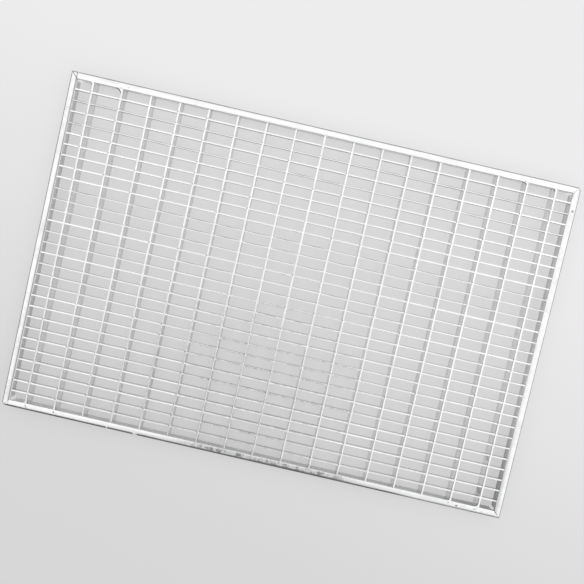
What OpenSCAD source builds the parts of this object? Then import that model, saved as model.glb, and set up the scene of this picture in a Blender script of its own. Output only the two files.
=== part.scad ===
// Galvanised steel grating panel, as laid in a door-mat frame or over a light well.
// Deep bearing bars span its width, along Y. Shallow cross bars run its length, along X,
// and are pressed into them with their tops almost level. Four rolled T bars, mitred and
// welded, close the panel. The origin is the middle of the underside, and +Z is up.

/* [Panel] */
// Length of the panel over its edge bars
panel_l = 590; // [400:10:800]
// Width of the panel over its edge bars
panel_w = 390; // [260:10:500]
// Depth of the panel, of its bearing bars and of its edge bars
panel_d = 20; // [15:1:40]

/* [Edge bars] */
// Width of an edge bar's head
head_w = 8; // [6:0.5:12]
// Thickness of an edge bar's head
head_t = 3; // [2:0.5:4]
// Thickness of an edge bar's web
web_t = 4; // [2:0.5:4.5]
// Radius of the two shoulders on top of the head
shoulder_r = 1; // [0.5:0.1:1.5]
// Radius of the rolled fillets between head and web
root_r = 1; // [0.5:0.1:1.5]
// Leg of the flat ground off two opposite corners of the frame
corner_clip = 3; // [1:0.5:4]
// Radius of the weld that fills each inside corner of the webs
weld_r = 3; // [2:0.5:5]

/* [Bearing bars] */
// Distance from one bearing bar to the next, centre to centre
bearing_pitch = 33.5; // [20:0.5:60]
// Thickness of a bearing bar
bearing_t = 2; // [1.5:0.5:4]
// Least clear gap between an edge bar's head and the first bearing bar
bearing_end_gap = 10; // [6:1:20]

/* [Cross bars] */
// Distance from one cross bar to the next, centre to centre
cross_pitch = 12.55; // [9:0.05:30]
// Thickness of a cross bar
cross_t = 1.6; // [1:0.1:3]
// Depth of a cross bar
cross_d = 6; // [5.5:0.5:12]
// Drop of the cross bars' tops below the bearing bars' tops
cross_drop = 0.2; // [0.1:0.1:0.5]
// Least clear gap between an edge bar's head and the first cross bar
cross_end_gap = 8; // [6:1:15]

/* [Hidden] */

// Facets of a full turn, for the preview alone
$fn = 48;

// Edge bar: how far its head stands out on each side of its web, and where the web ends
overhang = (head_w - web_t) / 2;
web_inner = head_w - overhang;
web_top = panel_d - head_t;

// Reach of the blocks that cut the mitres and the ground corners, clear of the section
cutter = 2 * head_w;

// A bar's end is notched, so that it passes under the head and clears the root fillet
notch_z = web_top - root_r;

// Number of bars that fit between the heads, and the middle of bar i from the panel's centre
function bar_count(clear, end_gap, t, pitch) = floor((clear - 2 * end_gap - t) / pitch) + 1;
function bar_place(i, count, pitch) = (i - (count - 1) / 2) * pitch;

bearing_n = bar_count(panel_l - 2 * head_w, bearing_end_gap, bearing_t, bearing_pitch);
cross_n = bar_count(panel_w - 2 * head_w, cross_end_gap, cross_t, cross_pitch);

// The field is one welded mesh. It is held in three sections that meet on bearing bars' faces
section_n = ceil(bearing_n / 3);
left_last = section_n - 1;
right_first = bearing_n - section_n;
left_cut = bar_place(left_last, bearing_n, bearing_pitch) + bearing_t / 2;
right_cut = bar_place(right_first, bearing_n, bearing_pitch) - bearing_t / 2;

// ---- Edge bars ----

// What a rounded outside corner loses: the square of side r at the origin, less its round
module corner_waste(r) {
    difference() {
        square(r);
        circle(r);
    }
}

// Section of the rolled T: outer face on x = 0, underside on y = 0
module edge_section() {
    difference() {
        translate([0, web_top]) square([head_w, head_t]);
        translate([head_w - shoulder_r, panel_d - shoulder_r]) corner_waste(shoulder_r);
        translate([shoulder_r, panel_d - shoulder_r]) mirror([1, 0]) corner_waste(shoulder_r);
    }
    translate([overhang, 0]) square([web_t, web_top]);
    translate([overhang - root_r, web_top - root_r]) corner_waste(root_r);
    translate([web_inner + root_r, web_top - root_r]) mirror([1, 0]) corner_waste(root_r);
}

// Edge bar along X, centred, with its outer face on y = 0 and both ends mitred
module edge_bar(length) {
    difference() {
        translate([-length / 2, 0, 0]) rotate([90, 0, 90]) linear_extrude(length) edge_section();
        for (side = [-1, 1])
            translate([side * length / 2, 0, -1]) rotate([0, 0, side * 45])
                translate([side < 0 ? -cutter : 0, -cutter, 0])
                    cube([cutter, 2 * cutter, panel_d + 2]);
    }
}

// What grinding takes off the front left and back right corners
module ground_corners() {
    for (turn = [0, 180])
        rotate([0, 0, turn]) translate([-panel_l / 2, -panel_w / 2, -1]) rotate([0, 0, -45])
            translate([-cutter, -cutter, 0])
                cube([2 * cutter, cutter + corner_clip / sqrt(2), panel_d + 2]);
}

module edge_bar_front() {
    color("gainsboro") difference() {
        translate([0, -panel_w / 2, 0]) edge_bar(panel_l);
        ground_corners();
    }
}

module edge_bar_back() {
    rotate([0, 0, 180]) edge_bar_front();
}

module edge_bar_left() {
    color("gainsboro") difference() {
        translate([-panel_l / 2, 0, 0]) rotate([0, 0, -90]) edge_bar(panel_w);
        ground_corners();
    }
}

module edge_bar_right() {
    rotate([0, 0, 180]) edge_bar_left();
}

// Convex weld down the inside corner of the webs, at each corner of the frame
module corner_welds() {
    color("silver")
        for (mx = [0, 1], my = [0, 1])
            mirror([mx, 0, 0]) mirror([0, my, 0])
                translate([web_inner - panel_l / 2, web_inner - panel_w / 2, 0])
                    linear_extrude(notch_z) intersection() {
                        square(weld_r);
                        circle(weld_r);
                    }
}

// ---- Grating field ----

// Side of a bar: its top fits between the heads, and its notched ends reach the webs
module bar_side(span, low, high) {
    head_half = span / 2 - head_w;
    web_half = span / 2 - web_inner;
    polygon([[-web_half, low], [web_half, low], [web_half, notch_z], [head_half, notch_z],
             [head_half, high], [-head_half, high], [-head_half, notch_z], [-web_half, notch_z]]);
}

module bearing_bar(i) {
    translate([bar_place(i, bearing_n, bearing_pitch) - bearing_t / 2, 0, 0])
        rotate([90, 0, 90]) linear_extrude(bearing_t) bar_side(panel_w, 0, panel_d);
}

module cross_bar(i) {
    top = panel_d - cross_drop;
    translate([0, bar_place(i, cross_n, cross_pitch) + cross_t / 2, 0])
        rotate([90, 0, 0]) linear_extrude(cross_t) bar_side(panel_l, top - cross_d, top);
}

// Bearing bars first to last, and the cross bars' stretch from x0 to x1
module grating_section(first, last, x0, x1) {
    color("lightgray") union() {
        for (i = [first:last]) bearing_bar(i);
        intersection() {
            for (i = [0:cross_n - 1]) cross_bar(i);
            translate([x0, -panel_w / 2, 0]) cube([x1 - x0, panel_w, panel_d]);
        }
    }
}

module grating_left() {
    grating_section(0, left_last, -panel_l / 2, left_cut);
}

module grating_middle() {
    grating_section(left_last + 1, right_first - 1, left_cut, right_cut);
}

module grating_right() {
    grating_section(right_first, bearing_n - 1, right_cut, panel_l / 2);
}

edge_bar_front();
edge_bar_back();
edge_bar_left();
edge_bar_right();
corner_welds();
grating_left();
grating_middle();
grating_right();
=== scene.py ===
"""Looks of a galvanised steel grating panel, laid out as an add-on and run as a script."""

import math
import random

import bmesh
import bpy
from mathutils import Matrix, Vector, noise


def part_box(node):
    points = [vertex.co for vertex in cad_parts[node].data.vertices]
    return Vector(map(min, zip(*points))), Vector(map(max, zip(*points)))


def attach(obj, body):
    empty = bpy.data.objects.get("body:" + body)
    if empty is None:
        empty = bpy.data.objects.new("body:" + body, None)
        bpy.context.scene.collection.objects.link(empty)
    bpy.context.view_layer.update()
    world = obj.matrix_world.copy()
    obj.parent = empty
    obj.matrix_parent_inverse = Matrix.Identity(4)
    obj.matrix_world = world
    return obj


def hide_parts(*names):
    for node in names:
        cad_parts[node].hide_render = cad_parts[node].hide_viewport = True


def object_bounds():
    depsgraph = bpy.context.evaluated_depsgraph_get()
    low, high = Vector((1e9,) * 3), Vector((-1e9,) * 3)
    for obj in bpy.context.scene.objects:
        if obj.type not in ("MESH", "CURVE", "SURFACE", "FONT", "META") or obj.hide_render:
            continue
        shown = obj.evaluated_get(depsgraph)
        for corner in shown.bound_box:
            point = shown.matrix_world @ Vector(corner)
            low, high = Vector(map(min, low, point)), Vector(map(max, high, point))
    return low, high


bl_info = {
    "name": "Galvanised Grating Panel",
    "version": (1, 0, 0),
    "blender": (4, 5, 0),
    "location": "3D View > Sidebar > Grating",
    "description": "Zinc-coated bars, welds and a soft studio for a steel grating panel",
    "category": "Object",
}

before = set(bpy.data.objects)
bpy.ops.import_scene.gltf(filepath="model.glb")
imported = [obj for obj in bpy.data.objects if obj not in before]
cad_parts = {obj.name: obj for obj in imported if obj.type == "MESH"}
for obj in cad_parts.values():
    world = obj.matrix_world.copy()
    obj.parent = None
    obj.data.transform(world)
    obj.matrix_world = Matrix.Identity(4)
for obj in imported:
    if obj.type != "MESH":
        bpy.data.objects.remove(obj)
CAD_BOX = [list(corner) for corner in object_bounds()]
EDGE_BOX = [list(corner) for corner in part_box("edge_bar_front")]

MM = 0.001
ROOT = "root"
CORNERS = ((-1, -1), (1, -1), (1, 1), (-1, 1))
PANEL_LENGTH = CAD_BOX[1][0] - CAD_BOX[0][0]
PANEL_WIDTH = CAD_BOX[1][1] - CAD_BOX[0][1]
PANEL_DEPTH = CAD_BOX[1][2] - CAD_BOX[0][2]
HEAD_WIDTH = EDGE_BOX[1][1] - EDGE_BOX[0][1]


# ---- Settings that a user would change ----


def kind_of_setting(property_type, step=1, **options):
    """Maker of settings. It takes a name, a description and a default in such steps."""
    def make(name, description, default):
        return property_type(name=name, description=description, default=default * step, **options)
    return make


length = kind_of_setting(bpy.props.FloatProperty, MM, min=0.0, unit="LENGTH", precision=5)
angle = kind_of_setting(bpy.props.FloatProperty, math.radians(1), subtype="ANGLE")
level = kind_of_setting(bpy.props.FloatProperty, min=0.0)
share = kind_of_setting(bpy.props.FloatProperty, min=0.0, max=1.0, subtype="FACTOR")
colour = kind_of_setting(
    bpy.props.FloatVectorProperty, size=3, min=0.0, max=1.0, subtype="COLOR")
amount = kind_of_setting(bpy.props.IntProperty, min=2)


class GratingSizes(bpy.types.PropertyGroup):
    """Sizes of the bars, as the CAD model has them"""

    head_thickness: length("Head thickness", "Thickness of an edge bar's head", 3)
    web_thickness: length("Web thickness", "Thickness of an edge bar's web", 4)
    shoulder_radius: length("Shoulder radius", "Radius of the head's top shoulders", 1)
    root_radius: length("Root radius", "Radius between head and web", 1)
    corner_clip: length("Corner clip", "Leg of the flat ground off two corners", 3)
    weld_radius: length("Corner weld", "Radius of the welds inside the corners", 3)
    bearing_count: amount("Bearing bars", "Number of bearing bars", 17)
    bearing_pitch: length("Bearing pitch", "Distance between bearing bars", 33.5)
    bearing_thickness: length("Bearing bar", "Thickness of a bearing bar", 2)
    cross_count: amount("Cross bars", "Number of cross bars", 29)
    cross_pitch: length("Cross pitch", "Distance between cross bars", 12.55)
    cross_thickness: length("Cross bar", "Thickness of a cross bar", 1.6)
    cross_depth: length("Cross depth", "Depth of a cross bar", 6)
    cross_drop: length("Cross drop", "Drop of a cross bar's top below the panel's", 0.2)


class ZincFinish(bpy.types.PropertyGroup):
    """Colours and grain of the hot-dip zinc"""

    bright: colour("Bright zinc", "Fresh, clean zinc", (0.88, 0.882, 0.882))
    dull: colour("Dull zinc", "Zinc that has gone grey", (0.74, 0.745, 0.75))
    # The stain colour is also the tone of the painted shade on the zinc
    stain_and_shade: colour("Stain", "Dark stain and flux marks", (0.20, 0.20, 0.205))
    roughness: share("Roughness", "Middle roughness of the zinc", 0.28)
    spangle: length("Spangle", "Size of a zinc crystal", 3.2)


class Irregularity(bpy.types.PropertyGroup):
    """How far the pieces stray from straight, sharp bars"""

    edge_wave: length("Edge wave", "Unevenness of the rolled edge bars", 0.12)
    bar_wave: length("Bar wave", "Sideways bow of a bar", 0.25)
    bar_round: length("Bar rounding", "Rounding that the zinc gives a bar's edges", 0.20)
    seam_depth: length("Seam depth", "Depth of an open mitre seam", 0.45)
    fillet: length("Zinc fillet", "Width of the zinc round a crossing", 0.7)
    seed: bpy.props.IntProperty(name="Seed", description="Seed of every random draw", default=11)


class StudioLight(bpy.types.PropertyGroup):
    """Soft studio round the panel"""

    # Painted light: the floor's colour runs from the front colour to the back one
    floor_back: colour("Floor at the back", "Pale floor behind the panel", (0.89, 0.89, 0.89))
    floor_front: colour("Floor in front", "Pale floor before the panel", (0.71, 0.71, 0.71))
    glow: share("Floor glow", "Share of the floor's colour that shadow doesn't touch", 0.58)
    mirrored: share("Mirrored glow", "The same share where the zinc mirrors the floor", 0.53)
    horizon: share("Horizon", "Brightness of the room near the floor", 0.26)
    window: level("Window", "Extra brightness of the room's right side", 0.42)
    ceiling: level("Ceiling", "Brightness of the lit ceiling", 1.28)
    viewer: share("Viewer", "How much the viewer darkens the ceiling in front", 0.63)
    shade: share("Shade", "How much darker the ceiling is round the viewer", 0.22)
    far_side: share("Far side", "How much darker the ceiling is far behind the panel", 0.24)


class PanelCamera(bpy.types.PropertyGroup):
    """Camera that looks down on the panel"""

    lens: bpy.props.FloatProperty(
        name="Lens", description="Focal length on a 36 mm wide sensor", default=43.15, unit="CAMERA")
    height: length("Height", "Height over the panel's top", 797)
    set_back: length("Set back", "Distance from the panel's middle towards its back", 46)
    tilt: angle("Tilt", "Lean of the view towards the front edge", -2.80)
    side_tilt: angle("Side tilt", "Lean of the view towards the right edge", -0.19)
    roll: angle("Roll", "Turn of the camera about its view", 12.97)


SETTINGS = {
    "grating_sizes": GratingSizes,
    "grating_zinc": ZincFinish,
    "grating_uneven": Irregularity,
    "grating_studio": StudioLight,
    "grating_camera": PanelCamera,
}


# ---- Shader expressions ----


def math_node(operation, swapped=False):
    """Method that joins a link to other values in a Math node."""
    def join_values(self, *others):
        values = (*others, self) if swapped else (self, *others)
        return self.tree.add("ShaderNodeMath", {"operation": operation}, dict(enumerate(values)))
    return join_values


class Link:
    """Output of a node. Arithmetic on it adds Math nodes."""

    def __init__(self, tree, socket):
        self.tree = tree
        self.socket = socket

    __add__ = __radd__ = math_node("ADD")
    __sub__ = math_node("SUBTRACT")
    __rsub__ = math_node("SUBTRACT", swapped=True)
    __mul__ = math_node("MULTIPLY")
    __truediv__ = math_node("DIVIDE")
    __abs__ = math_node("ABSOLUTE")
    floor = math_node("FLOOR")
    least = math_node("MINIMUM")
    most = math_node("MAXIMUM")

    def rise(self, low, high):
        """0 at low and 1 at high, with smooth ends. It falls where low is above high."""
        return self.tree.add("ShaderNodeMapRange", {"interpolation_type": "SMOOTHSTEP"},
                             {"Value": self, "From Min": low, "From Max": high})

    def rise_mm(self, low, high):
        """The same rise between two places or distances in millimetres."""
        return self.rise(low * MM, high * MM)

    def lifted(self, low):
        """A mask from 0 to 1, drawn up to run from low to 1."""
        return self * (1 - low) + low

    def cut(self, depth):
        """A factor that is 1 outside this mask, and less by the depth inside it."""
        return 1 - self * depth


class Tree:
    """Node tree of a material or world, made by expressions."""

    def __init__(self, owner):
        owner.use_nodes = True
        self.nodes = owner.node_tree.nodes
        self.links = owner.node_tree.links
        self.nodes.clear()

    def add(self, kind, settings=None, inputs=None, output=0):
        """Adds a node: its settings, then its sockets. Returns its first or the named output."""
        node = self.nodes.new(kind)
        for name, value in (settings or {}).items():
            setattr(node, name, value)
        for name, value in (inputs or {}).items():
            socket = node.inputs[name]
            if isinstance(value, Link):
                self.links.new(value.socket, socket)
            else:
                socket.default_value = value
        return Link(self, node.outputs[output]) if len(node.outputs) else None

    def mix(self, factor, first, second):
        """Colour between first, at 0, and second, at 1."""
        first, second = (
            value if isinstance(value, Link) else (*value[:3], 1.0) for value in (first, second))
        return self.add("ShaderNodeMix", {"data_type": "RGBA"},
                        {"Factor": factor, 6: first, 7: second}, 2)

    def vector(self, operation, first, second):
        return self.add("ShaderNodeVectorMath", {"operation": operation}, {0: first, 1: second})

    def parts(self, vector):
        """The x, y and z of a vector."""
        node = self.nodes.new("ShaderNodeSeparateXYZ")
        self.links.new(vector.socket, node.inputs[0])
        return [Link(self, socket) for socket in node.outputs]

    def noise(self, place, scale, detail=2.0, roughness=0.5):
        return self.add("ShaderNodeTexNoise", None, {
            "Vector": place, "Scale": scale, "Detail": detail, "Roughness": roughness})


# ---- Materials ----


# Near-black tone of the painted shade on the heads' outer shoulders
PAINTED_SHADE = (0.12, 0.12, 0.125)


def grey(value):
    return (value, value, value)


class ZincMaterial:
    """Hot-dip galvanised steel: crystals, grey bloom, runs and stains."""

    def __init__(self, name, grain=1.0, dullness=0.0, variation=1.0):
        coat = bpy.context.scene.grating_zinc
        self.material = bpy.data.materials.new(name + "_look")
        self.tree = tree = Tree(self.material)
        self.place = tree.add("ShaderNodeTexCoord", output="Object")
        self.right, self.back, self.up = tree.parts(self.place)
        crystal = tree.add("ShaderNodeTexVoronoi", None,
                           {"Vector": self.warped(), "Scale": 1 / coat.spangle}, "Color")
        crystal = tree.parts(crystal)[0]
        bloom = self.patches(38.0, 0.42, 0.66, detail=4.0)
        dull = ((bloom * 0.30 + crystal * 0.22) * variation + dullness).most(0.0).least(1.0)
        base = tree.mix(dull, coat.bright, coat.dull)
        spots = self.patches(120.0, 0.70, 0.76, detail=5.0, roughness=0.7)
        self.colour = tree.mix(spots * 0.35, base, coat.stain_and_shade)
        self.metallic = 1.0
        self.glow = 0.0
        self.roughness = coat.roughness + bloom * 0.10 + (crystal - 0.5) * 0.08
        swell = tree.noise(self.place, scale=210.0)
        speckle = tree.noise(self.place, scale=900.0, detail=3.0, roughness=0.6)
        height = swell * 0.7 + speckle * 0.3 * grain
        self.normal = tree.add("ShaderNodeBump", None, {
            "Strength": 0.25, "Distance": 0.12 * MM, "Height": height})

    def warped(self):
        """Place shifted a little by noise, so that crystals have ragged sides."""
        tree = self.tree
        shift = tree.add("ShaderNodeTexNoise", None,
                         {"Vector": self.place, "Scale": 400.0, "Detail": 1.0}, "Color")
        shift = tree.vector("SUBTRACT", shift, grey(0.5))
        shift = tree.vector("MULTIPLY", shift, grey(1.6 * MM))
        return tree.vector("ADD", self.place, shift)

    def patches(self, scale, low, high, detail=3.0, roughness=0.6):
        """Random patches: 0 where the noise is low, 1 where it is high."""
        return self.tree.noise(self.place, scale, detail, roughness).rise(low, high)

    def blot(self, x, y, long, wide, ragged=0.5):
        """Soft blot seen from above: 1 in its middle, 0 outside, with a ragged rim. Sizes in mm."""
        across = abs(self.right - x * MM) / (long * MM)
        along = abs(self.back - y * MM) / (wide * MM)
        rim = self.tree.noise(self.place, scale=700.0) * ragged - ragged * 0.5
        return (across * across + along * along + rim).rise(1.15, 0.65)

    def shade(self, mask, depth, tone=None):
        """Mixes a tone, or the stain, into the colour where the mask says."""
        tone = tone or bpy.context.scene.grating_zinc.stain_and_shade
        self.colour = self.tree.mix((mask * depth).least(1.0), self.colour, tone)

    def finish(self):
        surface = self.tree.add("ShaderNodeBsdfPrincipled", None, {
            "Base Color": self.colour, "Metallic": self.metallic, "Roughness": self.roughness,
            "Normal": self.normal, "Emission Color": (1, 1, 1, 1), "Emission Strength": self.glow})
        self.tree.add("ShaderNodeOutputMaterial", None, {"Surface": surface})
        return self.material


# Marks on the heads of the edge bars: place x, y and half sizes in millimetres, and darkness
EDGE_MARKS = (
    (291.2, 167.0, 1.3, 1.6, 0.75), (292.6, 178.5, 0.6, 0.9, 0.35),
    (243.0, -191.2, 1.5, 1.0, 0.95), (233.0, -189.6, 1.3, 0.6, 0.70),
    (264.4, -190.4, 2.0, 0.55, 0.65), (266.8, -189.4, 0.9, 0.5, 0.50),
    (272.8, -191.8, 2.2, 0.7, 0.30), (-246.0, 191.6, 4.0, 0.5, 0.30),
    (-236.5, 188.2, 0.8, 0.6, 0.55), (231.5, 188.3, 1.3, 0.6, 0.60),
    (214.0, 190.5, 0.7, 1.0, 0.30), (-228.5, 190.0, 0.9, 0.7, 0.55),
    (-267.4, -190.4, 0.8, 1.2, 0.80), (-265.8, -191.6, 0.6, 0.6, 0.60),
    (-268.6, -189.0, 0.5, 0.5, 0.55), (-234.5, -190.0, 1.0, 1.2, 0.90),
    (-231.0, -191.8, 0.7, 0.6, 0.60), (-293.0, -100.0, 0.6, 9.0, 0.25),
    (118.0, 191.5, 2.5, 0.5, 0.25),
)

# Places where clean zinc runs over the painted shade on the front bar's shoulder: x and half length,
# in millimetres
CLEAN_RUNS = ((-171.0, 1.0), (-137.7, 2.9))


def edge_zinc(name):
    """Zinc of the rolled frame: painted shade on the outer shoulders, and rough where it dripped."""
    zinc = ZincMaterial(name, dullness=0.22)
    right, back, up = zinc.right, zinc.back, zinc.up
    off_end = PANEL_LENGTH / 2 - abs(right)
    off_side = PANEL_WIDTH / 2 - abs(back)
    inward = off_end.least(off_side)
    patchy = zinc.patches(60.0, 0.25, 0.75)
    # Painted shade on the outer shoulders, for the dark room they reflect
    zinc.shade(inward.rise_mm(1.35, 0.6) * patchy.lifted(0.65), 0.95)
    # The back head's top is drawn paler
    zinc.shade(back.rise_mm(186.5, 187.2) * inward.rise_mm(1.2, 2.2), 0.5, grey(0.96))
    # Painted shade on the left outer shoulder and in the groove along the left head's inner side,
    # and a painted highlight on the pale, less metallic lip there
    outer = right.rise_mm(-293.8, -294.5) * back.rise_mm(194.5, 189)
    zinc.shade(outer * patchy.lifted(0.7), 0.92, PAINTED_SHADE)
    groove = right.rise_mm(-289.1, -288.5) * right.rise_mm(-287.45, -287.8)
    zinc.shade(groove * up.rise_mm(18.2, 18.7), 0.7)
    lip = right.rise_mm(-287.75, -287.5) * right.rise_mm(-286, -286.5) * up.rise_mm(16.8, 17.1)
    zinc.shade(lip, 0.8, grey(0.95))
    zinc.metallic = lip.cut(0.8)
    front_head(zinc, inward, patchy)
    # The right head is drawn a little darker towards the front
    dim = right.rise_mm(286.5, 287.2) * back.rise_mm(-80, -180) * inward.rise_mm(2.5, 6.5)
    zinc.shade(dim, 0.22)
    # Dark mitre seams: open at the back left, and half open at the front right
    open_seam = right.rise_mm(0, -100) * back.rise_mm(0, 100) * inward.rise_mm(1.5, 3.5)
    half_seam = right.rise_mm(0, 100) * back.rise_mm(0, -100) * inward.rise_mm(3.6, 4.6)
    seam = abs(off_end - off_side).rise_mm(0.75, 0.3) * up.rise_mm(17, 18)
    seam = seam * inward.rise_mm(0.4, 1.2)
    zinc.shade(seam * ((open_seam + half_seam) * 0.65 + 0.2), 0.9)
    # Painted shade on the web under the head, and on the head's inner side, at the front right
    # corner
    near = right.rise_mm(200, 285)
    web = near * back.rise_mm(-60, -175) * up.rise_mm(16.4, 15.8) * inward.rise_mm(5.0, 5.6)
    zinc.shade(web * patchy.lifted(0.5), 0.62)
    side = near * back.rise_mm(-135, -165) * up.rise_mm(19.5, 19.0) * inward.rise_mm(7.3, 7.9)
    zinc.shade(side, 0.7)
    for x, y, long, wide, depth in EDGE_MARKS:
        zinc.shade(zinc.blot(x, y, long, wide) * up.rise_mm(17, 18), depth)
    return zinc.finish()


def front_head(zinc, inward, patchy):
    """The front head: painted shade on its outer shoulder, widest right of the middle, a left half
    painted paler, and rough drips.
    """
    right, back, up = zinc.right, zinc.back, zinc.up
    front = back.rise_mm(-187, -188) * right.rise_mm(294, 286) * right.rise_mm(-294, -287)
    # Painted shade on the outer shoulder, for the dark it reflects, widest right of the middle
    dark_edge = front * right.rise_mm(165, 195).cut(0.55) * inward.rise_mm(3.0, 1.9)
    zinc.shade(dark_edge * patchy.lifted(0.8), 0.95, PAINTED_SHADE)
    wide = front * abs(right - 62 * MM).rise_mm(66, 40) * inward.rise_mm(3.9, 2.7)
    zinc.shade(wide * patchy.lifted(0.6), 0.62, PAINTED_SHADE)
    # Painted light: the left half's top is drawn paler than its lean lets it reflect
    zinc.shade(front * right.rise_mm(-75, -115) * inward.rise_mm(2.2, 3.4), 0.6, grey(0.97))
    for x, long in CLEAN_RUNS:
        zinc.shade(zinc.blot(x, -193.4, long, 2.2), 0.85, grey(0.93))
    # The last of the bath ran to the middle and set there
    drips = front * abs(right - 18 * MM).rise_mm(112, 62) * up.rise_mm(18.5, 19.5)
    mottle = zinc.patches(180.0, 0.45, 0.59, detail=4.0, roughness=0.66)
    zinc.shade(drips * inward.rise_mm(7.7, 5.8) * mottle.lifted(0.32), 0.88)
    zinc.roughness = zinc.roughness + drips * 0.12


# Burnt patches on the last bearing bar's left face: y, z and radius in millimetres, and darkness
BURNS = ((-169.5, 10.0, 6.2, 0.85), (-130.0, 12.0, 4.2, 0.60))


def field_zinc(name):
    """Zinc of the cross bars or the bearing bars: painted highlights on the tops, dark specks, grey
    dashes, burns and painted shade.
    """
    zinc = ZincMaterial(name, variation=0.55)
    cross = name == "cross_zinc"
    sizes = bpy.context.scene.grating_sizes
    right, back, up = zinc.right, zinc.back, zinc.up
    column = right / sizes.bearing_pitch + 0.5
    row = back / sizes.cross_pitch + 0.5
    off_bearing = (column - column.floor() - 0.5) * sizes.bearing_pitch
    off_cross = (row - row.floor() - 0.5) * sizes.cross_pitch
    # Painted highlight on the tops: bearing bars on the right, and cross bars all over but for the
    # front right
    painted_highlight = right.rise_mm(80, 200)
    if cross:
        painted_highlight = (painted_highlight * back.rise_mm(0, -150)).cut(0.8)
    zinc.shade(up.rise_mm(19.2, 19.5) * painted_highlight, 0.7, grey(0.97))
    # Dark specks in the corner beside some of the crossings
    crossing = zinc.tree.add("ShaderNodeCombineXYZ", None, {0: column.floor(), 1: row.floor()})
    chance = zinc.tree.add(
        "ShaderNodeTexWhiteNoise", {"noise_dimensions": "2D"}, {"Vector": crossing})
    off_x, off_y = off_bearing + 1.2 * MM, off_cross - 0.9 * MM
    reach = (off_x * off_x + off_y * off_y) / (0.8 * MM * MM)
    zinc.shade(reach.rise(1.5, 0.6) * chance.rise(0.48, 0.52) * up.rise_mm(17, 19), 0.85)
    # Grey dashes in the middle of the front half: partly stains, partly painted shade where the bars
    # mirror the darker ceiling round the viewer
    stained_and_shaded = zinc.blot(0, -95, 105, 95, 1.2) if cross else zinc.blot(-60, -105, 112, 95, 1.2)
    dashes = zinc.patches(150.0, 0.42, 0.60)
    zinc.shade(stained_and_shaded * dashes.lifted(0.35), 0.34 if cross else 0.26)
    last = right.rise_mm(266.0, 266.4) * up.rise_mm(19.6, 19.0)
    rough = zinc.patches(420.0, 0.36, 0.56)
    for y, z, radius, depth in BURNS:
        along, high = (back - y * MM) / (radius * MM), (up - z * MM) / (radius * 1.3 * MM)
        burnt = (along * along + high * high).rise(1.2, 0.5) * last
        zinc.shade(burnt * rough.lifted(0.35), depth)
    if cross:
        # Painted shade below the tops, most of all towards the back, where the camera sees the front
        # faces
        zinc.shade(up.rise_mm(19.65, 19.25) * back.rise_mm(-70, 60).lifted(0.4), 0.72)
    else:
        # Painted shade on the sides just below the tops, a dark outline
        zinc.shade(up.rise_mm(19.92, 19.7) * up.rise_mm(16.8, 18.8), 0.35)
        # Darker along the front halves of the left edges
        dark_edge = off_bearing.rise_mm(-0.25, -0.85) * back.rise_mm(-20, -110) * up.rise_mm(17, 18)
        zinc.shade(dark_edge * right.rise_mm(50, 120).cut(0.5), 0.55)
    return zinc.finish()


def gusset_zinc(name):
    """Weld metal flush with the bars' tops, with painted shade down its hollow side."""
    zinc = ZincMaterial(name, grain=1.5)
    zinc.shade(zinc.up.rise_mm(19.88, 19.72), 0.80)
    return zinc.finish()


def bead_zinc(name):
    """Corner weld, drawn pale, with a painted glow that keeps it light under the heads, and painted
    shade on the two at the front.
    """
    zinc = ZincMaterial(name, grain=2.5, dullness=-0.25)
    fresh = zinc.patches(300.0, 0.2, 0.5, detail=2.0, roughness=0.5)
    zinc.shade(fresh, 0.8, grey(0.97))
    # Painted shade on the two welds at the front, which catch more light
    zinc.shade(zinc.back.rise_mm(0, -100), 0.4, grey(0.55))
    zinc.metallic = 0.1
    zinc.roughness = zinc.roughness + 0.2
    # Painted light: the weld glows a little
    zinc.glow = 0.28
    return zinc.finish()


def weld_zinc(name):
    """Weld metal under cold zinc paint: pale, matt and uneven."""
    zinc = ZincMaterial(name, grain=2.5, dullness=-0.25)
    fresh = zinc.patches(300.0, 0.25, 0.6, detail=2.0, roughness=0.5)
    zinc.shade(fresh, 0.7, grey(0.95))
    zinc.metallic = 0.15
    zinc.roughness = zinc.roughness + 0.28
    return zinc.finish()


def finish_named(name):
    """The finish of that name, made once."""
    makers = {"edge_zinc": edge_zinc, "bar_zinc": field_zinc, "cross_zinc": field_zinc,
              "gusset_zinc": gusset_zinc, "bead_zinc": bead_zinc, "weld_zinc": weld_zinc}
    return bpy.data.materials.get(name + "_look") or makers[name](name)


# ---- Mesh helpers ----


def settings():
    """The bars' sizes and their unevenness."""
    return bpy.context.scene.grating_sizes, bpy.context.scene.grating_uneven


def notch_height(sizes):
    """Height at which the field's bars are cut back to fit between the heads."""
    return PANEL_DEPTH - sizes.head_thickness - sizes.root_radius


def place_piece(form, name, slot, sharp, finish=None):
    """Turns a bmesh into a piece that rides on the panel and has its slot's finish, or its own."""
    bmesh.ops.recalc_face_normals(form, faces=form.faces)
    mesh = bpy.data.meshes.new(name)
    form.to_mesh(mesh)
    form.free()
    mesh.shade_smooth()
    mesh.set_sharp_from_angle(angle=math.radians(sharp))
    piece = bpy.data.objects.new(name, mesh)
    bpy.context.scene.collection.objects.link(piece)
    mesh.materials.append(finish_named(finish or slot))
    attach(piece, ROOT)
    return piece


def loft(form, rings):
    """Skins a list of closed rings of points, and caps both ends."""
    layers = [[form.verts.new(point) for point in ring] for ring in rings]
    around = len(layers[0])
    for low, high in zip(layers, layers[1:]):
        for k in range(around):
            form.faces.new((low[k], low[(k + 1) % around], high[(k + 1) % around], high[k]))
    form.faces.new(layers[0][::-1])
    form.faces.new(layers[-1])


def arc(centre, radius, start, end, steps, high=None):
    """Points on an arc, with angles in degrees. It is part of an oval where it has a height."""
    angles = [math.radians(start + (end - start) * k / steps) for k in range(steps + 1)]
    return [(centre[0] + radius * math.cos(a), centre[1] + (high or radius) * math.sin(a))
            for a in angles]


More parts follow.
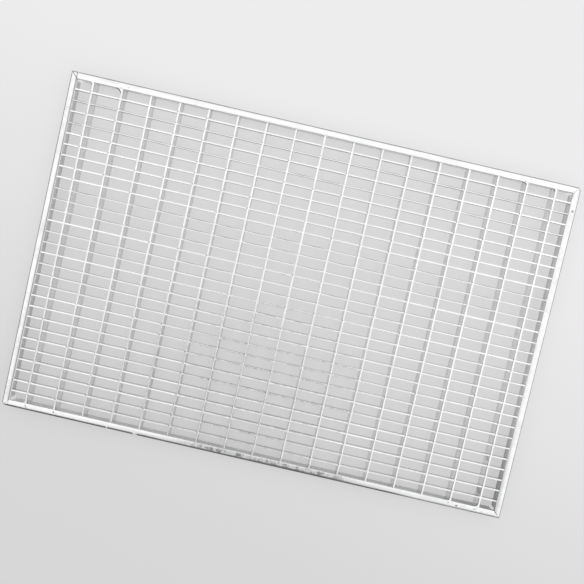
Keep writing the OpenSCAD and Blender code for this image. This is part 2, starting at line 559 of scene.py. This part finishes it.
def bead(form, centre, radius, flat, outward):
    """Round bead of zinc on a face, flattened to a share of its height."""
    made = bmesh.ops.create_icosphere(form, subdivisions=2, radius=radius)["verts"]
    out = Vector(outward)
    for v in made:
        v.co += (flat - 1) * v.co.dot(out) * out
        v.co += centre


def drift(position, period, salt):
    """Smooth wander between -1 and 1 along a bar. Each salt gives another one."""
    return noise.noise(Vector((position / period, salt * 7.31, salt * 1.77)))


def bar_places(whole, pitch):
    return [(k - (whole - 1) / 2) * pitch for k in range(whole)]


def bearing_places(sizes):
    return bar_places(sizes.bearing_count, sizes.bearing_pitch)


def cross_places(sizes):
    return bar_places(sizes.cross_count, sizes.cross_pitch)


# ---- Edge bars ----


HEAD_CROWN = 0.12 * MM  # Fall of a head's top from its middle to its sides
FRONT_LEAN = 0.5 * MM  # Fall of the front head from its outer side to its inner side
FOOT_ROUND = 0.3 * MM  # Radius of the small edges of web and head
LIP_ROUND = 0.55 * MM  # Radius of the lip on the left head's inner side


def edge_section(sizes, outer_round, lip):
    """Closed outline of the rolled T: distance from its outer face, and height.

    A lip is a shallow groove that sets a bead apart along the head's inner side.
    """
    depth = PANEL_DEPTH
    overhang = (HEAD_WIDTH - sizes.web_thickness) / 2
    web_inner = HEAD_WIDTH - overhang
    web_top = depth - sizes.head_thickness
    root, foot = sizes.root_radius, FOOT_ROUND
    outline = arc((overhang + foot, foot), foot, 180, 270, 2)
    outline += arc((web_inner - foot, foot), foot, 270, 360, 2)
    outline += arc((web_inner + root, web_top - root), root, 180, 90, 4)
    outline += arc((HEAD_WIDTH - foot, web_top + foot), foot, 270, 360, 2)
    if lip:
        outline += arc((HEAD_WIDTH - LIP_ROUND, depth - lip - LIP_ROUND), LIP_ROUND, 0, 115, 5)
        outline.append((HEAD_WIDTH - 2 * LIP_ROUND, depth - lip - 0.75 * LIP_ROUND))
        shoulder, start = 1.8 * LIP_ROUND, 25
        inset = shoulder + 0.7 * LIP_ROUND
    else:
        shoulder, start = sizes.shoulder_radius, 0
        inset = shoulder
    outline += arc((HEAD_WIDTH - inset, depth - HEAD_CROWN - shoulder), shoulder, start, 90, 6)
    top = HEAD_WIDTH - inset - outer_round
    for k in (5, 4, 3, 2, 1):
        across = k / 6
        outline.append((outer_round + top * across, depth - HEAD_CROWN * (2 * across - 1) ** 2))
    drop = min(outer_round, sizes.head_thickness * 0.8)
    outline += arc((outer_round, depth - HEAD_CROWN - drop), outer_round, 90, 180, 10, drop)
    outline += arc((foot, web_top + foot), foot, 180, 270, 2)
    outline += arc((overhang - root, web_top - root), root, 90, 0, 4)
    return outline


def edge_bar(name, span, turn, outer_round, seams, clips, salt, lip=0.0, lean=0.0):
    """One mitred T bar. It is made along X with its outer face to -Y, then turned into place.

    The lean is the head's drop from its outer side to its inner side, midway along the bar. The
    seams are how open its two ends are, and the clips say which ends are ground flat.
    """
    sizes, uneven = settings()
    outline = edge_section(sizes, outer_round, lip)
    across = PANEL_WIDTH / 2 if span == PANEL_LENGTH else PANEL_LENGTH / 2
    straight = span / 2 - 2 * HEAD_WIDTH
    steps = max(2, round(2 * straight / (9 * MM)))
    stations = [-straight + 2 * straight * k / steps for k in range(steps + 1)]
    quarter = Matrix.Rotation(math.radians(turn), 3, "Z")

    def ring(place_of, lower=0.0):
        points = []
        for d, z in outline:
            x = place_of(d)
            top = max(0.0, z - (PANEL_DEPTH - sizes.head_thickness)) / sizes.head_thickness
            sink = uneven.edge_wave * (0.5 + 0.5 * drift(x, 31 * MM, salt + d * 200)) * top
            bow = uneven.edge_wave * drift(x, 47 * MM, salt + 3) * 0.6 * (0 < d < HEAD_WIDTH)
            y = max(d + bow, 0.0) - across
            level_end = min(1.0, max(0.0, (straight - abs(x)) / (40 * MM)))
            sink += lean * level_end * top * d / HEAD_WIDTH
            points.append(quarter @ Vector((x, y, z - sink - lower * (top > 0.05))))
        return points

    def end_place(side, gap):
        clip = sizes.corner_clip if clips[side > 0] else 0.0
        return lambda d: side * (span / 2 - max(d, clip - d) - gap)

    # A seam is a step down at the very end of the bar
    depths = [uneven.seam_depth * share_open for share_open in seams]
    steps_in = [depth * 0.9 + 0.05 * MM for depth in depths]
    rings = [ring(end_place(-1, 0.0), depths[0]), ring(end_place(-1, steps_in[0]))]
    rings += [ring(lambda d: x) for x in stations]
    rings += [ring(end_place(1, steps_in[1])), ring(end_place(1, 0.0), depths[1])]
    form = bmesh.new()
    loft(form, rings)
    piece = place_piece(form, name + "_rolled", "edge_zinc", 40.0)
    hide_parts(name)


class GRATING_OT_edge_bars(bpy.types.Operator):
    """Roll the four T edge bars, with their mitres, seams and ground corners"""

    bl_idname = "grating.edge_bars"
    bl_label = "Edge Bars"

    def execute(self, context):
        # How open the seam at each corner is
        front_left, front_right, back_right, back_left = 0.6, 0.7, 0.15, 1.0
        edge_bar("edge_bar_front", PANEL_LENGTH, turn=0, outer_round=2.6 * MM, lean=FRONT_LEAN,
                 seams=(front_left, front_right), clips=(True, False), salt=1)
        edge_bar("edge_bar_right", PANEL_WIDTH, turn=90, outer_round=1.4 * MM,
                 seams=(front_right, back_right), clips=(False, True), salt=2)
        edge_bar("edge_bar_back", PANEL_LENGTH, turn=180, outer_round=1.8 * MM,
                 seams=(back_right, back_left), clips=(True, False), salt=3)
        edge_bar("edge_bar_left", PANEL_WIDTH, turn=270, outer_round=1.8 * MM, lip=0.8 * MM,
                 seams=(back_left, front_left), clips=(False, True), salt=4)
        return {"FINISHED"}


# ---- Bars of the field ----


# Cross bars, counted from the back, whose sheared top edge slopes well down to the back. The
# others slope a little to the front
SLOPING = (2, 4, 10, 11, 12, 14, 15, 17, 18, 19, 23, 25, 26, 27)
SLOPE_TO_BACK = 0.46 * MM
FIRST_SLOPE_TO_BACK = 0.40 * MM
FIRST_BARS = 4
SLOPE_TO_FRONT = 0.06 * MM
BEARING_SLOPE = 0.09 * MM  # Fall of a bearing bar's sheared top to the right
MOST_SAG = 0.18 * MM  # Sag of a cross bar between two bearing bars
HAIR = 1e-7  # Play allowed when two places on a bar are compared


def reaches(span, sizes):
    """Half lengths of a field bar: between the heads, and between the webs below them."""
    between_heads = span / 2 - HEAD_WIDTH
    return between_heads, between_heads + (HEAD_WIDTH - sizes.web_thickness) / 2


def flat_bar(form, turn, stations, reach, levels, thickness, rounding, lift, side_shift):
    """Adds a notched flat bar, made along X: stations, half length of its top, and three levels.

    lift(x, side) changes the top's height, and side_shift(x) bows the bar sideways.
    """
    part = bmesh.new()
    verts = {}
    top_row = len(levels) - 1

    def vert(k, row, side):
        key = (k, row, side)
        if key not in verts:
            x, z = stations[k], levels[row]
            if row == top_row:
                z += lift(x, side)
            verts[key] = part.verts.new((x, side * thickness / 2, z))
        return verts[key]

    cells = set()
    for k in range(len(stations) - 1):
        cells.add((k, 0))
        if max(-stations[k], stations[k + 1]) <= reach + HAIR:
            cells.add((k, 1))
    rim = []
    faces = []
    for k, row in cells:
        for side in (-1, 1):
            faces.append(part.faces.new([vert(k, row, side), vert(k + 1, row, side),
                                         vert(k + 1, row + 1, side), vert(k, row + 1, side)]))
        # The cell beyond each side, and that side's two corners
        borders = (((k, row - 1), (k, row), (k + 1, row)),
                   ((k, row + 1), (k, row + 1), (k + 1, row + 1)),
                   ((k - 1, row), (k, row), (k, row + 1)),
                   ((k + 1, row), (k + 1, row), (k + 1, row + 1)))
        for beyond, first, second in borders:
            if beyond not in cells:
                faces.append(part.faces.new([vert(*first, -1), vert(*first, 1),
                                             vert(*second, 1), vert(*second, -1)]))
                rim += [(vert(*first, side), vert(*second, side)) for side in (-1, 1)]
    bmesh.ops.recalc_face_normals(part, faces=faces)
    edges = [part.edges.get(pair) for pair in rim]
    bmesh.ops.bevel(part, geom=edges, offset=rounding, segments=2, profile=0.6,
                    affect="EDGES", clamp_overlap=True)
    for v in part.verts:
        v.co.y += side_shift(v.co.x)
    bmesh.ops.transform(part, matrix=turn, verts=part.verts)
    # It joins the form by way of a passing mesh
    mesh = bpy.data.meshes.new("part")
    part.to_mesh(mesh)
    part.free()
    form.from_mesh(mesh)
    bpy.data.meshes.remove(mesh)


def bearing_bar(form, place, salt):
    sizes, uneven = settings()
    head_half, web_half = reaches(PANEL_WIDTH, sizes)
    steps = 2 * sizes.cross_count
    inner = [-head_half + 2 * head_half * k / steps for k in range(steps + 1)]
    stations = [-web_half] + inner + [web_half]

    def bow(y):
        hold = math.cos(math.pi * y / (2 * web_half))
        return uneven.bar_wave * drift(y, 120 * MM, salt) * hold

    def lift(y, side):
        return -BEARING_SLOPE if side < 0 else 0.0

    turn = Matrix.Translation((place, 0, 0)) @ Matrix.Rotation(math.pi / 2, 4, "Z")
    levels = (0.0, notch_height(sizes), PANEL_DEPTH)
    flat_bar(form, turn, stations, head_half, levels,
             sizes.bearing_thickness, uneven.bar_round * 1.7, lift, bow)


def cross_bar(form, number, place, draw):
    sizes, uneven = settings()
    head_half, web_half = reaches(PANEL_LENGTH, sizes)
    crossings = bearing_places(sizes)
    grip = sizes.bearing_thickness / 2
    stations = {-web_half, -head_half, head_half, web_half}
    for x in crossings:
        stations |= {x - grip, x + grip}
    for low, high in zip([-head_half] + crossings, crossings + [head_half]):
        start = low + (grip if low > -head_half else 0)
        end = high - (grip if high < head_half else 0)
        stations |= {start + (end - start) * k / 4 for k in (1, 2, 3)}
    stations = sorted(stations)
    top = PANEL_DEPTH - sizes.cross_drop
    levels = (top - sizes.cross_depth, notch_height(sizes), top)
    if number in SLOPING:
        to_back = FIRST_SLOPE_TO_BACK if number <= FIRST_BARS else SLOPE_TO_BACK
        to_front = 0.0
    else:
        to_back, to_front = 0.0, SLOPE_TO_FRONT
    sags = [draw.uniform(0.0, MOST_SAG) for _ in range(len(crossings) + 1)]
    salt = number * 1.3

    def span_share(x):
        """Which gap x is in, and how far from the bars that hold it: 0 on them, 1 midway."""
        gap = sum(1 for c in crossings if c < x)
        low = crossings[gap - 1] if gap else -web_half
        high = crossings[gap] if gap < len(crossings) else web_half
        return gap, max(0.0, math.sin(math.pi * (x - low) / (high - low)))

    def lift(x, side):
        gap, free = span_share(x)
        slope = to_back if side > 0 else to_front
        return -slope - sags[gap] * free ** 2

    def bow(x):
        free = span_share(x)[1]
        return uneven.bar_wave * 0.5 * drift(x, 52 * MM, salt) * free

    flat_bar(form, Matrix.Translation((0, place, 0)), stations, head_half, levels,
             sizes.cross_thickness, uneven.bar_round * 0.5, lift, bow)


class GRATING_OT_field_bars(bpy.types.Operator):
    """Make the bearing bars and the cross bars of the field"""

    bl_idname = "grating.field_bars"
    bl_label = "Field Bars"

    def execute(self, context):
        sizes, uneven = settings()
        draw = random.Random(uneven.seed)
        form = bmesh.new()
        for k, place in enumerate(bearing_places(sizes)):
            bearing_bar(form, place, 20 + k)
        bearing = place_piece(form, "bearing_bars", "bar_zinc", 18.0)
        form = bmesh.new()
        for number, place in enumerate(reversed(cross_places(sizes)), 1):
            cross_bar(form, number, place, draw)
        place_piece(form, "cross_bars", "bar_zinc", 18.0, "cross_zinc")
        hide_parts("grating_left", "grating_middle", "grating_right")
        return {"FINISHED"}


# ---- Zinc and weld metal ----


def collar(form, root, outward, half, low, high, spread):
    """Zinc that creeps from a face onto a bar: flared on the face, and thin on the bar."""
    out = Vector(outward)
    side = Vector((-out.y, out.x, 0))
    rings = []
    # How far each ring is out along the bar, and its flare as a share of the spread
    for run, flare in ((-0.15 * MM, 1.0), (spread * 0.25, 0.45), (spread, 0.04),
                       (spread * 1.2, -0.1)):
        grow = flare * spread
        wide = half + grow
        deep = low - grow * 0.8
        middle = (high + low) / 2
        shape = [(-wide, high), (-wide, middle), (-wide, deep + grow * 0.7),
                 (-wide * 0.5, deep), (wide * 0.5, deep),
                 (wide, deep + grow * 0.7), (wide, middle), (wide, high)]
        rings.append([Vector(root) + out * run + side * s + Vector((0, 0, z)) for s, z in shape])
    loft(form, rings)


def squeezed_bead(form, x, y, face, top, draw):
    """Metal that the press squeezed up, mostly to the right of the bearing bar."""
    if draw.random() < 0.75:
        side = 1 if draw.random() < 0.7 else -1
        radius = draw.uniform(0.55, 0.85) * MM
        site = Vector((x + side * (face + 0.15 * MM), y + draw.uniform(-0.4, 0.5) * MM, top))
        bead(form, site, radius, 0.17 * MM / radius, (0, 0, 1))


class GRATING_OT_crossing_zinc(bpy.types.Operator):
    """Run zinc fillets round every crossing and every bar end"""

    bl_idname = "grating.crossing_zinc"
    bl_label = "Crossing Zinc"

    def execute(self, context):
        sizes, uneven = settings()
        draw = random.Random(uneven.seed + 1)
        face = sizes.bearing_thickness / 2
        half = sizes.cross_thickness / 2
        top = PANEL_DEPTH - sizes.cross_drop
        low = top - sizes.cross_depth
        skin = 0.05 * MM
        rows = cross_places(sizes)
        columns = bearing_places(sizes)
        form = bmesh.new()
        for x in columns:
            for y in rows:
                for side in (-1, 1):
                    spread = uneven.fillet * draw.uniform(0.6, 1.35)
                    root = (x + side * face, y, 0)
                    collar(form, root, (side, 0, 0), half, low, top - skin, spread)
                squeezed_bead(form, x, y, face, top, draw)
        # The bars' ends on the webs, under the heads
        web_x = reaches(PANEL_LENGTH, sizes)[1]
        web_y = reaches(PANEL_WIDTH, sizes)[1]
        foot = 1.2 * MM
        notch = notch_height(sizes)
        for side in (-1, 1):
            for y in rows:
                spread = uneven.fillet * draw.uniform(0.8, 1.3)
                collar(form, (side * web_x, y, 0), (-side, 0, 0), half, low, notch, spread)
            for x in columns:
                spread = uneven.fillet * draw.uniform(0.8, 1.6)
                collar(form, (x, side * web_y, 0), (0, -side, 0), face, foot, notch - skin, spread)
        place_piece(form, "crossing_zinc", "weld_zinc", 60.0)
        return {"FINISHED"}


# Layers of a gusset from its foot up: share of its depth and drop in millimetres below its top,
# size, and how full its hollow side is, which is most a little below the top
GUSSET_LAYERS = ((1.0, 0.0, 0.55, 0.55), (0.6, 0.0, 0.90, 0.66), (0.0, 0.9, 1.0, 0.72),
                 (0.0, 0.25, 0.95, 0.52), (0.0, 0.0, 0.88, 0.42))


def gusset(form, corner, first, second, first_leg, second_leg, deep, draw):
    """Weld in a corner: flush on top, with a hollow face that slopes away below."""
    first, second = Vector((*first, 0)), Vector((*second, 0))
    top = PANEL_DEPTH - 0.06 * MM
    tuck = 0.3 * MM
    rings = []
    for share_down, drop, size, full in GUSSET_LAYERS:
        a, b = first_leg * size, second_leg * size
        points = [(-tuck, -tuck), (a, -tuck)]
        for k in range(7):
            t = k / 6
            hollow = full + draw.uniform(-0.05, 0.05)
            pull = 2 * t * (1 - t) * (1 - hollow)
            points.append((a * (1 - t - pull), b * (t - pull)))
        points.append((-tuck, b))
        base = Vector((*corner, top - deep * share_down - drop * MM))
        rings.append([base + first * x + second * y for x, y in points])
    loft(form, rings)


# Welds that tie bar ends to the heads: bar number from the left, and legs in millimetres along
# the head and along the bar, to the left of the bar and then to its right
BACK_WELDS = ((1, 3.8, 5.6, 0.0, 0.0), (2, 7.0, 7.0, 0.8, 1.0), (9, 1.6, 2.0, 1.4, 1.8),
              (16, 6.0, 2.8, 1.2, 1.5), (17, 3.4, 3.6, 0.9, 1.2))
FRONT_WELDS = ((1, 1.8, 3.0, 1.6, 2.6), (2, 2.2, 4.0, 1.6, 3.0), (9, 1.4, 1.8, 1.2, 1.6),
               (11, 2.6, 3.8, 0.8, 1.4), (16, 1.8, 2.2, 0.9, 1.3), (17, 5.0, 3.4, 1.4, 1.8))

# Welds on the side bars: side, cross bar counted from the middle one, and leg in millimetres
SIDE_WELDS = ((-1, -5, 2.2), (1, 5, 2.8))


class GRATING_OT_bar_end_welds(bpy.types.Operator):
    """Tie some bar ends to the edge bars' heads with small welds"""

    bl_idname = "grating.bar_end_welds"
    bl_label = "Bar End Welds"

    def execute(self, context):
        sizes, uneven = settings()
        draw = random.Random(uneven.seed + 2)
        form = bmesh.new()
        half = sizes.bearing_thickness / 2
        head = PANEL_WIDTH / 2 - HEAD_WIDTH
        columns = bearing_places(sizes)
        for welds, side in ((BACK_WELDS, 1), (FRONT_WELDS, -1)):
            for bar, *legs in welds:
                for out, (along_head, along_bar) in ((-1, legs[:2]), (1, legs[2:])):
                    if along_head:
                        corner = (columns[bar - 1] + out * half, side * head)
                        gusset(form, corner, (out, 0), (0, -side), along_head * MM, along_bar * MM,
                               3.4 * MM, draw)
        half = sizes.cross_thickness / 2
        head = PANEL_LENGTH / 2 - HEAD_WIDTH
        for side, step, leg in SIDE_WELDS:
            for out in (-1, 1):
                corner = (side * head, step * sizes.cross_pitch + out * half)
                gusset(form, corner, (0, out), (-side, 0), leg * 0.8 * MM, leg * MM,
                       2.6 * MM, draw)
        place_piece(form, "bar_end_welds", "weld_zinc", 30.0, "gusset_zinc")
        return {"FINISHED"}


# Numbers of zinc drops: on the front halves of the last bars, on all bars, and on the front
# head's inner side. The lumps are on its top
LAST_BARS = 4
DROPS_ON_LAST_BARS = 42
DROPS_ON_BARS = 60
DROPS_ON_HEAD = 10
LUMPS = 150


def drops(sizes, draw):
    """Zinc drops on the bearing bars' sides and on the front head's inner side."""
    form = bmesh.new()
    columns = bearing_places(sizes)
    half = sizes.bearing_thickness / 2
    first = sizes.bearing_count - LAST_BARS
    sites = [(draw.randrange(first, sizes.bearing_count), -1, draw.uniform(-180, -10))
             for _ in range(DROPS_ON_LAST_BARS)]
    sites += [(draw.randrange(sizes.bearing_count), draw.choice((-1, 1)), draw.uniform(-180, 180))
              for _ in range(DROPS_ON_BARS)]
    for bar, side, y in sites:
        radius = draw.uniform(0.35, 0.75) * MM
        height = draw.uniform(2.0, 16.0) * MM
        centre = Vector((columns[bar] + side * (half + radius * 0.25), y * MM, height))
        bead(form, centre, radius, 0.7, (1, 0, 0))
    for _ in range(DROPS_ON_HEAD):
        radius = draw.uniform(0.5, 0.9) * MM
        centre = Vector((draw.uniform(-0.28, 0.28), HEAD_WIDTH - PANEL_WIDTH / 2, 17.4 * MM))
        bead(form, centre, radius, 0.7, (0, 1, 0))
    return form


def lumps(draw):
    """Low lumps where the last of the bath set on the front head, which leans in."""
    form = bmesh.new()
    for _ in range(LUMPS):
        x = draw.uniform(-88, 124) * MM
        inward = draw.uniform(2.8, 7.2) * MM
        radius = draw.uniform(0.5, 1.3) * MM
        top = PANEL_DEPTH - HEAD_CROWN - FRONT_LEAN * inward / HEAD_WIDTH
        bead(form, Vector((x, inward - PANEL_WIDTH / 2, top)), radius, 0.17, (0, 0, 1))
    return form


class GRATING_OT_zinc_drops(bpy.types.Operator):
    """Scatter the small zinc drops and lumps that set on the bars"""

    bl_idname = "grating.zinc_drops"
    bl_label = "Zinc Drops"

    def execute(self, context):
        sizes, uneven = settings()
        draw = random.Random(uneven.seed + 3)
        place_piece(drops(sizes, draw), "zinc_drops", "weld_zinc", 60.0)
        place_piece(lumps(draw), "front_bar_lumps", "edge_zinc", 60.0)
        return {"FINISHED"}


# Ripples down one corner weld. Each is a small ledge that slopes out and down
RIPPLES = 34
LEDGE = 0.6 * MM


class GRATING_OT_corner_welds(bpy.types.Operator):
    """Lay a rippled weld down each inside corner of the webs"""

    bl_idname = "grating.corner_welds"
    bl_label = "Corner Welds"

    def execute(self, context):
        sizes = settings()[0]
        web_x = reaches(PANEL_LENGTH, sizes)[1]
        web_y = reaches(PANEL_WIDTH, sizes)[1]
        pitch = notch_height(sizes) / RIPPLES
        form = bmesh.new()
        for number, (mx, my) in enumerate(CORNERS):
            corner = Vector((mx * web_x, my * web_y, 0))
            rings = []
            for k in range(2 * RIPPLES):
                ripple, crest = divmod(k, 2)
                z = (ripple + crest * 0.92) * pitch
                grow = 0.98 + 0.06 * drift(z, 5 * MM, number + 50)
                reach = sizes.weld_radius * 0.88 * grow - crest * LEDGE
                points = [(0.0, 0.0)]
                for t in (0.0, 0.15, 0.35, 0.5, 0.65, 0.85, 1.0):
                    bulge = 1 + 0.35 * t * (1 - t)
                    points.append((reach * (1 - t) * bulge, reach * t * bulge))
                rings.append([corner + Vector((-mx * a, -my * b, z)) for a, b in points])
            loft(form, rings)
        piece = place_piece(form, "corner_weld_beads", "weld_zinc", 70.0, "bead_zinc")
        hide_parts("corner_welds")
        return {"FINISHED"}


# ---- Stage ----


FLOOR_REACH = 6.0
NEAREST = 10 * MM


def studio_world(context):
    """Room light: a bright ceiling, darker towards the floor and where the viewer stands."""
    studio = context.scene.grating_studio
    world = bpy.data.worlds.new("studio")
    context.scene.world = world
    tree = Tree(world)
    right, back, up = tree.parts(tree.add("ShaderNodeTexCoord", output="Generated"))
    over = up.most(0.05)

    def patch(x, y, wide, long):
        """Soft oval patch of the ceiling. Its middle and reach are slopes from straight up."""
        across = (right / over - x) / wide
        along = (back / over - y) / long
        return (across * across + along * along).rise(1.6, 0.4)

    low = studio.horizon + right.rise(0.1, 0.95) * studio.window + back * 0.10
    brightness = low + up.rise(0.12, 0.98) * (studio.ceiling - low)
    # The viewer shades the ceiling in front of the panel, and the lamps are far from one corner
    brightness = brightness * patch(x=0.01, y=-0.37, wide=0.20, long=0.37).cut(studio.viewer)
    brightness = brightness * patch(x=-0.10, y=-0.48, wide=0.30, long=0.34).cut(studio.shade)
    brightness = brightness * patch(x=-0.20, y=0.72, wide=0.60, long=0.42).cut(studio.far_side)
    # The camera itself sees plain white
    seen = tree.add("ShaderNodeLightPath", output="Is Camera Ray")
    strength = brightness * seen.cut(1.0) + seen
    light = tree.add("ShaderNodeBackground", None, {"Color": (1, 1, 1, 1), "Strength": strength})
    tree.add("ShaderNodeOutputWorld", None, {"Surface": light})


def pale_floor(context):
    """A wide floor that keeps the panel's soft shadow and stays pale between the bars."""
    studio = context.scene.grating_studio
    material = bpy.data.materials.new("pale_floor")
    tree = Tree(material)
    right, back, _ = tree.parts(tree.add("ShaderNodeTexCoord", output="Object"))
    # Painted light: the floor pales towards the back, and a little towards the right, for the
    # light's falloff towards the front
    pale = (back + right * 0.22).rise(-0.42, 0.28)
    tone = tree.mix(pale, studio.floor_front, studio.floor_back)
    # Camera and mirror rays see the floor paler than its shadows leave it
    seen = tree.add("ShaderNodeLightPath", output="Is Camera Ray") * studio.glow
    seen = seen.most(tree.add("ShaderNodeLightPath", output="Is Glossy Ray") * studio.mirrored)
    plain = tree.add("ShaderNodeBsdfDiffuse", None, {"Color": tone})
    glow = tree.add("ShaderNodeEmission", None, {"Color": tone})
    blend = tree.add("ShaderNodeMixShader", None, {0: seen, 1: plain, 2: glow})
    tree.add("ShaderNodeOutputMaterial", None, {"Surface": blend})
    mesh = bpy.data.meshes.new("floor")
    mesh.from_pydata([(x * FLOOR_REACH, y * FLOOR_REACH, 0) for x, y in CORNERS], [], [(0, 1, 2, 3)])
    mesh.materials.append(material)
    floor = bpy.data.objects.new("floor", mesh)
    context.scene.collection.objects.link(floor)


def panel_camera(context):
    view = context.scene.grating_camera
    data = bpy.data.cameras.new("camera")
    data.lens = view.lens
    data.clip_start = NEAREST
    camera = bpy.data.objects.new("camera", data)
    turn = (Matrix.Rotation(view.tilt, 3, "X") @ Matrix.Rotation(view.side_tilt, 3, "Y")
            @ Matrix.Rotation(view.roll, 3, "Z"))
    eye = Matrix.Translation((0, view.set_back, PANEL_DEPTH + view.height))
    camera.matrix_world = eye @ turn.to_4x4()
    context.scene.collection.objects.link(camera)
    context.scene.camera = camera


class GRATING_OT_stage(bpy.types.Operator):
    """Set up the floor, the room's light and the camera"""

    bl_idname = "grating.stage"
    bl_label = "Stage"

    def execute(self, context):
        studio_world(context)
        pale_floor(context)
        panel_camera(context)
        context.scene.view_settings.view_transform = "Standard"
        return {"FINISHED"}


# ---- Panel and registration ----


STEPS = (
    GRATING_OT_edge_bars,
    GRATING_OT_field_bars,
    GRATING_OT_crossing_zinc,
    GRATING_OT_corner_welds,
    GRATING_OT_bar_end_welds,
    GRATING_OT_zinc_drops,
    GRATING_OT_stage,
)


class GRATING_PT_steps(bpy.types.Panel):
    """Lists the steps that dress the grating panel"""

    bl_label = "Grating Panel"
    bl_idname = "GRATING_PT_steps"
    bl_space_type = "VIEW_3D"
    bl_region_type = "UI"
    bl_category = "Grating"

    def draw(self, context):
        for step in STEPS:
            self.layout.operator(step.bl_idname)


CLASSES = (*SETTINGS.values(), *STEPS, GRATING_PT_steps)


def register():
    for made in CLASSES:
        bpy.utils.register_class(made)
    for name, group in SETTINGS.items():
        setattr(bpy.types.Scene, name, bpy.props.PointerProperty(type=group))


def unregister():
    for name in SETTINGS:
        delattr(bpy.types.Scene, name)
    for made in reversed(CLASSES):
        bpy.utils.unregister_class(made)


def main():
    register()
    for step in STEPS:
        category, name = step.bl_idname.split(".")
        if getattr(getattr(bpy.ops, category), name)() != {"FINISHED"}:
            raise RuntimeError(step.bl_label + " didn't finish")


if __name__ == "__main__":
    main()
